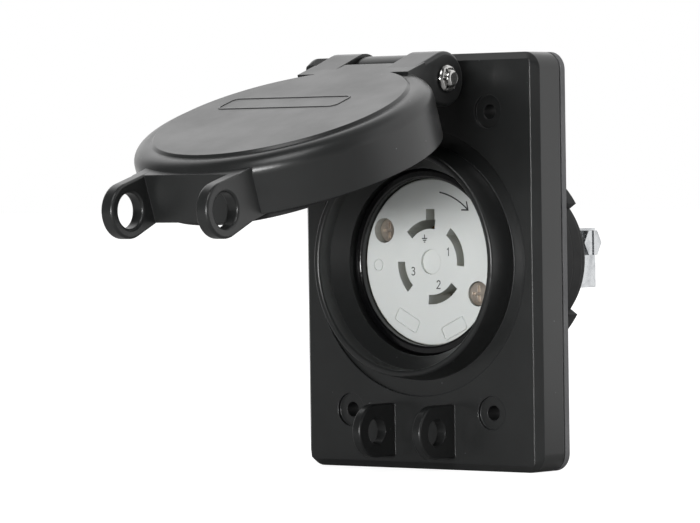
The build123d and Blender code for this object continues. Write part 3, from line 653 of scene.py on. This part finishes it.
# %% [markdown]
# ## Raised marks
# Two empty frames and a small ring stand on the face, and a long empty frame on the lid: the
# places where a maker's own plate would go are left blank. The rear cover has the pole numbers
# beside the holes for the wires, so that an electrician can read them while wiring. The lid's
# frame is drawn on the shut lid, and then turned about the hinge to where the lid rests.

# %% Raised marks
RAISED_HEIGHT, RAISED_STROKE = 0.25, 0.35

for name, x, z, degrees in (("left", -8.7, -16.5, -28), ("right", 8.0, -18.5, 25)):
    outline, where = rounded_frame(8.5, 3.8, 0.8), laid(FRONT, x, FACE_Y, z, degrees)
    mark = solid_strokes(
        "blank_frame_" + name, [outline], RAISED_STROKE, RAISED_HEIGHT, where, closed=True,
    )
    finish_piece(mark, white_nylon)
ring, where = arc(1.6, 0, 345, 23), laid(FRONT, -19.0, FACE_Y, -0.9)
mould_ring = solid_strokes("mould_ring", [ring], RAISED_STROKE, RAISED_HEIGHT, where, closed=True)
finish_piece(mould_ring, white_nylon)

joint = frame["joints"][0]
HINGE = Vector(joint["pos_m"])
SHUT_DEG = joint["range_deg"][0]
LID_STROKE, LID_HEIGHT = 0.7, 0.15
opening = Matrix.Rotation(math.radians(SHUT_DEG), 4, "X")
opened = Matrix.Translation(HINGE) @ opening @ Matrix.Translation(-HINGE)
outline, where = rounded_frame(42.0, 8.5, 2.0), opened @ laid(FRONT, -5.0, LID_TOP_Y, 11.0)
lid_frame = solid_strokes("blank_lid_frame", [outline], LID_STROKE, LID_HEIGHT, where, closed=True)
finish_piece(lid_frame, glass_nylon, "lid")

WIRE_ANGLES = {"1": 45.0, "2": -67.0, "3": 202.5, "earth": 108.0}
WIRE_RING, BESIDE_DEG, REAR_STROKE, REAR_HEIGHT = 10.5, 27.0, 0.45, 0.3
for sign, degrees in WIRE_ANGLES.items():
    x, z = on_circle(WIRE_RING, degrees + BESIDE_DEG)
    where = laid(REAR, x, REAR_Y, z)
    raised = solid_strokes("raised_" + sign, SIGNS[sign], REAR_STROKE, REAR_HEIGHT, where)
    finish_piece(raised, body_nylon)

# %% [markdown]
# ## Push nuts
# A push nut is a domed steel washer whose hole is cut into teeth. It goes over the end of the
# pin in one push, and the teeth bite when the pin tries to go back. The frame has it as a plain
# ring, so a pressed one with its teeth stands in its place on both ends. It is made from points
# round the hole: where there is a slit, the rings of points stop short of the pin.

# %% Push nuts with teeth
TEETH, STEPS_PER_TOOTH, STEPS_PER_SLIT, STEPS_IN = 6, 8, 2, 7
NUT_RADIUS, TOOTH_RADIUS, SLIT_RADIUS = 3.9, 2.42, 3.15
NUT_FLAT, NUT_DOME, DOME_RUN, SHEET = 20.05, 1.0, 0.9, 0.3
WELD_MM = 0.001


def push_nut(name):
    """A domed washer on each end of the pin, with slits between its teeth."""
    shape = bmesh.new()
    around = TEETH * STEPS_PER_TOOTH
    for end in (1, -1):
        layers = []
        for inset in (0.0, SHEET):
            rings = []
            for k in range(around):
                angle = 2 * math.pi * k / around
                inner = SLIT_RADIUS if k % STEPS_PER_TOOTH < STEPS_PER_SLIT else TOOTH_RADIUS
                ring = []
                for j in range(STEPS_IN + 1):
                    radius = NUT_RADIUS + (inner - NUT_RADIUS) * j / STEPS_IN
                    run = min(1.0, (NUT_RADIUS - radius) / DOME_RUN)
                    rise = max(NUT_DOME * math.sin(math.pi / 2 * run) - inset, 0.0)
                    corner = (
                        end * (NUT_FLAT + rise), radius * math.cos(angle), radius * math.sin(angle),
                    )
                    ring.append(shape.verts.new(Vector(corner) * MM))
                rings.append(ring)
            layers.append(rings)
        outer, inner = layers
        for k in range(around):
            after = (k + 1) % around
            for j in range(STEPS_IN):
                shape.faces.new((outer[k][j], outer[k][j + 1], outer[after][j + 1], outer[after][j]))
                shape.faces.new((inner[k][j], inner[after][j], inner[after][j + 1], inner[k][j + 1]))
            shape.faces.new((outer[k][0], outer[after][0], inner[after][0], inner[k][0]))
            shape.faces.new((outer[k][-1], inner[k][-1], inner[after][-1], outer[after][-1]))
    # Both skins meet in one sharp rim, where their points are welded.
    bmesh.ops.remove_doubles(shape, verts=shape.verts, dist=WELD_MM * MM)
    piece = object_from(name, shape)
    piece.data.shade_smooth()
    piece.location = HINGE
    return piece


nuts = push_nut("toothed_push_nuts")
finish_piece(nuts, stainless)
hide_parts("push_nuts")
